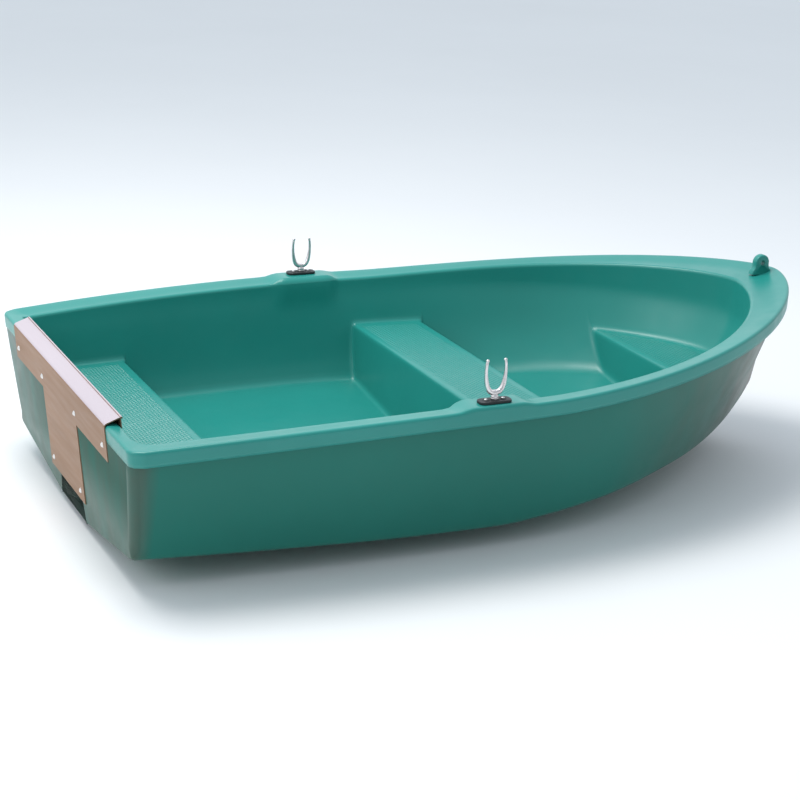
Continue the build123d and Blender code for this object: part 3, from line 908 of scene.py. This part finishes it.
def horn_mesh(side):
    """Forged yoke: a tapered U with ball tips on a collar, and the shank below it."""
    half = [
        (0, 13.5), (8, 14.2), (16.5, 19), (22.5, 28), (26.5, 42), (28.8, 58), (29.6, 74), (29.0, 90),
        (26.8, 103),
    ]
    knots = [(-x, 0, z) for x, z in half[:0:-1]] + [(x, 0, z) for x, z in half]
    count = 61
    line = along(np.array(knots, float).T, np.linspace(0, 1, count))
    reach = np.abs(np.linspace(-1, 1, count))
    root_r, taper, tip_r = 7.6, 3.4, 4.9
    radii = root_r - taper * smooth((reach - 0.1) / 0.75)
    yoke = tube("yoke", line, radii * (1 - smooth((reach - 0.95) / 0.05) * 0.35))
    balls = []
    for end in (line[0], line[-1]):
        turns = np.linspace(0, math.pi, 13)
        ball = lathe("ball", [(tip_r * math.sin(a), tip_r * math.cos(a)) for a in turns], 20)
        balls.append(placed(ball, Matrix.Translation(Vector(end / 1000))))
    profile = [
        (0, 20), (5.5, 19), (7.2, 16), (7.6, 12), (8.6, 8), (10.4, 5.6), (10.9, 4.6), (10.9, 1.2), (10.2, 0),
        (6, 0), (6, -56), (5, -57), (0, -57),
    ]
    hub = lathe("hub", profile, 36)
    obj = joined("horn", [yoke, hub] + balls)
    return placed(obj, Matrix.Translation(world_point(OARLOCK_STATION, side * OARLOCK_Y, HORN_FOOT)))


def bush_mesh(side):
    """Flanged bush from the base's top to the foot of the block under the gunwale."""
    low = BUSH_FOOT - BASE_TOP
    profile = [
        (6.05, low), (6.05, 3.6), (6.4, 4.0), (10.3, 4.0), (11, 3.4), (11, 0), (8, 0), (8, low), (6.05, low),
    ]
    obj = lathe("bush", profile, 36)
    return placed(obj, Matrix.Translation(world_point(OARLOCK_STATION, side * OARLOCK_Y, BASE_TOP)))


oarlock_parts = {}
for side, label in ((1, "port"), (-1, "starboard")):
    builders = {"base": base_mesh, "screws": pan_screws, "bush": bush_mesh, "horn": horn_mesh}
    for kind, build in builders.items():
        obj = build(side)
        obj.name = f"{label}_{kind}_detail"
        oarlock_parts[label, kind] = obj

# ---- bung in the front of the stern seat ----
BUNG_HEIGHT = 120


def bung_mesh():
    """Disc with a grip across it and a plug behind it."""
    profile = [
        (0, 8.6), (12, 8.6), (14, 8.2), (18.6, 7.4), (19.6, 6.6), (20, 5.4), (20, 2.6), (19.6, 2), (13.9, 2),
        (13.9, -13), (13, -14), (0, -14),
    ]
    disc = lathe("disc", profile, 40)
    grip = bevelled(prism("grip", stadium(14.5, 3.2, 3), 8.2, 14), 1.2, 3, 40)
    obj = joined("bung_detail", [disc, grip])
    return placed(obj, axis_frame(world_point(STERN_SEAT_FRONT, 0, BUNG_HEIGHT), (1, 0, 0)))


bung = bung_mesh()
seal_profile = [(14, 0), (18, 0), (18.5, 0.5), (18.5, 1.5), (18, 2), (14, 2), (14, 0)]
seal = lathe("seal_detail", seal_profile, 40)
placed(seal, axis_frame(world_point(STERN_SEAT_FRONT, 0, BUNG_HEIGHT), (1, 0, 0)))


# ---- materials ----
def new_material(name):
    material = bpy.data.materials.new(name)
    material.use_nodes = True
    tree = material.node_tree
    return material, tree, tree.nodes["Principled BSDF"]


def noise(tree, scale, detail=3.0, stretch=(1, 1, 1)):
    place = tree.nodes.new("ShaderNodeTexCoord")
    mapping = tree.nodes.new("ShaderNodeMapping")
    mapping.inputs["Scale"].default_value = stretch
    texture = tree.nodes.new("ShaderNodeTexNoise")
    texture.inputs["Scale"].default_value = scale
    texture.inputs["Detail"].default_value = detail
    tree.links.new(place.outputs["Object"], mapping.inputs["Vector"])
    tree.links.new(mapping.outputs["Vector"], texture.inputs["Vector"])
    return texture.outputs["Fac"]


def ramp(tree, factor, stops):
    node = tree.nodes.new("ShaderNodeValToRGB")
    elements = node.color_ramp.elements
    while len(elements) < len(stops):
        elements.new(0.5)
    for element, (position, color) in zip(elements, stops):
        element.position = position
        element.color = (*color, 1)
    tree.links.new(factor, node.inputs["Fac"])
    return node.outputs["Color"]


def remap(tree, value, low, high, start=0.3, end=0.7):
    """Takes start to low and end to high; the defaults suit a noise."""
    node = tree.nodes.new("ShaderNodeMapRange")
    node.inputs["From Min"].default_value = start
    node.inputs["From Max"].default_value = end
    node.inputs["To Min"].default_value = low
    node.inputs["To Max"].default_value = high
    tree.links.new(value, node.inputs["Value"])
    return node.outputs["Result"]


def combined(tree, operation, first, second):
    node = tree.nodes.new("ShaderNodeMath")
    node.operation = operation
    tree.links.new(first, node.inputs[0])
    tree.links.new(second, node.inputs[1])
    return node.outputs[0]


def bump(tree, shader, height, distance, strength=1.0):
    node = tree.nodes.new("ShaderNodeBump")
    node.inputs["Distance"].default_value = distance
    node.inputs["Strength"].default_value = strength
    tree.links.new(height, node.inputs["Height"])
    tree.links.new(node.outputs["Normal"], shader.inputs["Normal"])


def scaled(color, factor):
    return tuple(min(1.0, c * factor) for c in color)


def surface(name, color, rough, metallic=0.0, specular=0.5, spread=0.06, cloud=3.0,
            grain=900.0, grain_depth=0.00002, stretch=(1, 1, 1), coat=0.0):
    """Plastic, metal, wood or foam: cloudy colour and gloss over a fine grain."""
    material, tree, shader = new_material(name)
    clouds = noise(tree, cloud, 4.0, stretch)
    stops = [(0.3, scaled(color, 1 - spread)), (0.5, color), (0.7, scaled(color, 1 + spread))]
    tree.links.new(ramp(tree, clouds, stops), shader.inputs["Base Color"])
    gloss = noise(tree, cloud * 6, 3.0, stretch)
    tree.links.new(remap(tree, gloss, rough * 0.86, rough * 1.14), shader.inputs["Roughness"])
    shader.inputs["Metallic"].default_value = metallic
    shader.inputs["Specular IOR Level"].default_value = specular
    shader.inputs["Coat Weight"].default_value = coat
    bump(tree, shader, noise(tree, grain, 2.0, stretch), grain_depth)
    return material


# Grey-brown painted reflection of the ground, mixed over the hull's green at the bow and the transom.
BOW_GROUND_REFLECTION = (0.095, 0.066, 0.050)
GREEN = (0.018, 0.262, 0.226)
# The liner's green darkened for the outer moulding: painted shade on the hull's sides.
SHADED_GREEN = (0.013, 0.168, 0.132)
looks = {
    "hull_green": surface("moulded_green_outer_painted_shade", SHADED_GREEN, 0.36, specular=0.25, spread=0.05, cloud=2.2,
                          grain=180, grain_depth=0.00002),
    "liner_green": surface("moulded_green_inner", GREEN, 0.33, spread=0.05, cloud=2.6,
                           grain=180, grain_depth=0.00002),
    "plate_metal": surface("plate_sheet", (0.33, 0.205, 0.135), 0.5, 0.4, specular=0.1, spread=0.09, cloud=5,
                           grain=260, grain_depth=0.00002, stretch=(1, 0.2, 2)),
    "bolt_steel": surface("bolt_metal", (0.74, 0.72, 0.70), 0.3, 1.0, spread=0.04, cloud=40, grain=900),
    "oarlock_steel": surface("galvanised_metal", (0.78, 0.74, 0.74), 0.3, 0.95, spread=0.08, cloud=60,
                             grain=500, grain_depth=0.00008),
    "base_black": surface("base_black", (0.012, 0.016, 0.018), 0.5, spread=0.1, cloud=30,
                          grain=1400, grain_depth=0.00005),
    "foam_white": surface("foam", (0.80, 0.80, 0.76), 0.85, spread=0.05, cloud=60,
                          grain=300, grain_depth=0.0004),
    "plywood": surface("plywood", (0.42, 0.27, 0.15), 0.6, spread=0.25, cloud=12,
                       grain=200, grain_depth=0.0002, stretch=(1, 0.15, 6)),
    "block_grey": surface("block_grey", (0.05, 0.055, 0.055), 0.55, spread=0.1, cloud=30,
                          grain=900, grain_depth=0.00004),
    "bung_black": surface("bung_black", (0.014, 0.014, 0.015), 0.45, spread=0.12, cloud=40,
                          grain=1200, grain_depth=0.00005),
    "seal_rubber": surface("seal_rubber", (0.01, 0.01, 0.01), 0.75, spread=0.12, cloud=40,
                           grain=1500, grain_depth=0.00006),
}


def painted_ground_reflection(material):
    """Painted ground reflection: grey-brown streaks over the outer moulding, towards the stem and on the
    transom.
    """
    tree = material.node_tree
    base_color = tree.nodes["Principled BSDF"].inputs["Base Color"]
    green = base_color.links[0].from_socket
    place = tree.nodes.new("ShaderNodeTexCoord")
    split = tree.nodes.new("ShaderNodeSeparateXYZ")
    tree.links.new(place.outputs["Object"], split.inputs["Vector"])
    bow = remap(tree, split.outputs["X"], 0.0, 1.0, 0.25, 1.05)
    stern = remap(tree, split.outputs["X"], 0.6, 0.0, -1.165, -1.12)
    reflection_streaks = remap(tree, noise(tree, 5.0, 4.0, (2.5, 2.5, 0.6)), 0.55, 1.0)
    share = combined(tree, "MULTIPLY", combined(tree, "MAXIMUM", bow, stern), reflection_streaks)
    mix = tree.nodes.new("ShaderNodeMix")
    mix.data_type = "RGBA"
    color_a, color_b, color_result = mix.inputs[6], mix.inputs[7], mix.outputs[2]
    tree.links.new(share, mix.inputs["Factor"])
    tree.links.new(green, color_a)
    color_b.default_value = (*BOW_GROUND_REFLECTION, 1)
    tree.links.new(color_result, base_color)


# Paints a reflection of the ground onto the outer moulding's colour.
painted_ground_reflection(looks["hull_green"])


def dress(obj, slot_name):
    obj.data.materials.clear()
    obj.data.materials.append(looks[slot_name])


node_slot = {row["node"]: row["material_slot"] for row in frame["record"]["subparts"]}
for node, obj in frame["nodes"].items():
    dress(obj, node_slot[node])


def stands_for(obj, body, *nodes):
    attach(obj, body)
    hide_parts(*nodes)
    dress(obj, node_slot[nodes[0]])


stands_for(hull, "boat", "outer_hull")
stands_for(liner, "boat", "inner_liner", "gunwale")
stands_for(plate, "boat", "motor_plate")
# The fold's upward faces get a lighter, lilac copy of the plate's colour: painted sky reflection.
plate.data.materials.append(
    surface("plate_fold_painted_sky_reflection", (0.53, 0.455, 0.49), 0.36, 0.2, spread=0.03, cloud=5,
            grain=260, grain_depth=0.00002, stretch=(1, 0.2, 2))
)
for polygon in plate.data.polygons:
    if polygon.normal.z > 0.5 and polygon.center.z > RIM_Z / 1000:
        polygon.material_index = 1
for obj, node in (
    (bolts_top, "plate_bolts_top"), (bolts_low, "plate_bolts_low"), (nuts, "plate_nuts"),
    (washers, "plate_washers"), (bung, "drain_bung"), (seal, "bung_seal"),
):
    stands_for(obj, "boat", node)
for label in ("port", "starboard"):
    for kind in ("base", "screws", "bush"):
        stands_for(oarlock_parts[label, kind], "boat", f"{label}_oarlock_{kind}")
    stands_for(oarlock_parts[label, "horn"], f"{label}_horn", f"{label}_oarlock")

# ---- studio ----
FLOOR_HALF = 40.0
floor_corners = [(x * FLOOR_HALF, y * FLOOR_HALF, -0.001) for x, y in ((-1, -1), (1, -1), (1, 1), (-1, 1))]
floor = mesh_object("studio_floor", floor_corners, [(0, 1, 2, 3)], False)
floor.data.materials.append(
    surface("floor_pale", (0.86, 0.86, 0.86), 0.9, specular=0.1, spread=0.01, cloud=0.5, grain=20)
)

world = bpy.data.worlds.new("studio")
bpy.context.scene.world = world
world.use_nodes = True
background = world.node_tree.nodes["Background"]
direction = world.node_tree.nodes.new("ShaderNodeTexCoord")
split = world.node_tree.nodes.new("ShaderNodeSeparateXYZ")
world.node_tree.links.new(direction.outputs["Generated"], split.inputs["Vector"])
sky = ramp(world.node_tree, split.outputs["Z"], [
    (0.0, (0.50, 0.49, 0.47)), (0.1, (0.74, 0.77, 0.80)),
    (0.32, (0.86, 0.93, 1.0)), (0.8, (0.70, 0.79, 0.88)),
])
side_strength = remap(world.node_tree, split.outputs["Y"], 0.55, 1.35, -0.9, 0.9)
world.node_tree.links.new(sky, background.inputs["Color"])
world.node_tree.links.new(side_strength, background.inputs["Strength"])


def area_light(name, place, target, size, power, color):
    data = bpy.data.lights.new(name, "AREA")
    data.shape = "RECTANGLE"
    data.size, data.size_y = size
    data.energy = power
    data.color = color
    light = bpy.data.objects.new(name, data)
    bpy.context.scene.collection.objects.link(light)
    turn = (Vector(target) - Vector(place)).to_track_quat("-Z", "Y")
    light.matrix_world = Matrix.Translation(place) @ turn.to_matrix().to_4x4()


MIDDLE_OF_BOAT, NEAR_STERN = (0, 0, 0.3), (-1.0, 0, 0.3)
area_light("key", (-1.4, 0.8, 5.0), MIDDLE_OF_BOAT, (2.6, 2.6), 190, (1.0, 0.99, 0.97))
area_light("fill", (-4.5, -1.0, 2.5), NEAR_STERN, (2.5, 2.0), 28, (0.98, 0.98, 1.0))

FOCAL_PIXELS, FRAME_PIXELS, SENSOR = 1829.63, 800, 36.0
CAMERA_PLACE = (-1255.0, -4751.7, 2031.2)
YAW, PITCH, ROLL = math.radians(64.05), math.radians(-18.71), math.radians(2.775)
camera_data = bpy.data.cameras.new("camera")
camera_data.sensor_width = SENSOR
camera_data.lens = FOCAL_PIXELS / FRAME_PIXELS * SENSOR
camera = bpy.data.objects.new("camera", camera_data)
bpy.context.scene.collection.objects.link(camera)
forward = Vector((math.cos(YAW) * math.cos(PITCH), math.sin(YAW) * math.cos(PITCH), math.sin(PITCH)))
level = forward.cross(Vector((0, 0, 1))).normalized()
upward = level.cross(forward)
right = level * math.cos(ROLL) + upward * math.sin(ROLL)
top = upward * math.cos(ROLL) - level * math.sin(ROLL)
aim = Matrix((right, top, -forward)).transposed().to_4x4()
aim.translation = world_point(*CAMERA_PLACE)
camera.matrix_world = aim
bpy.context.scene.camera = camera
bpy.context.scene.view_settings.view_transform = "Standard"

bpy.context.view_layer.update()
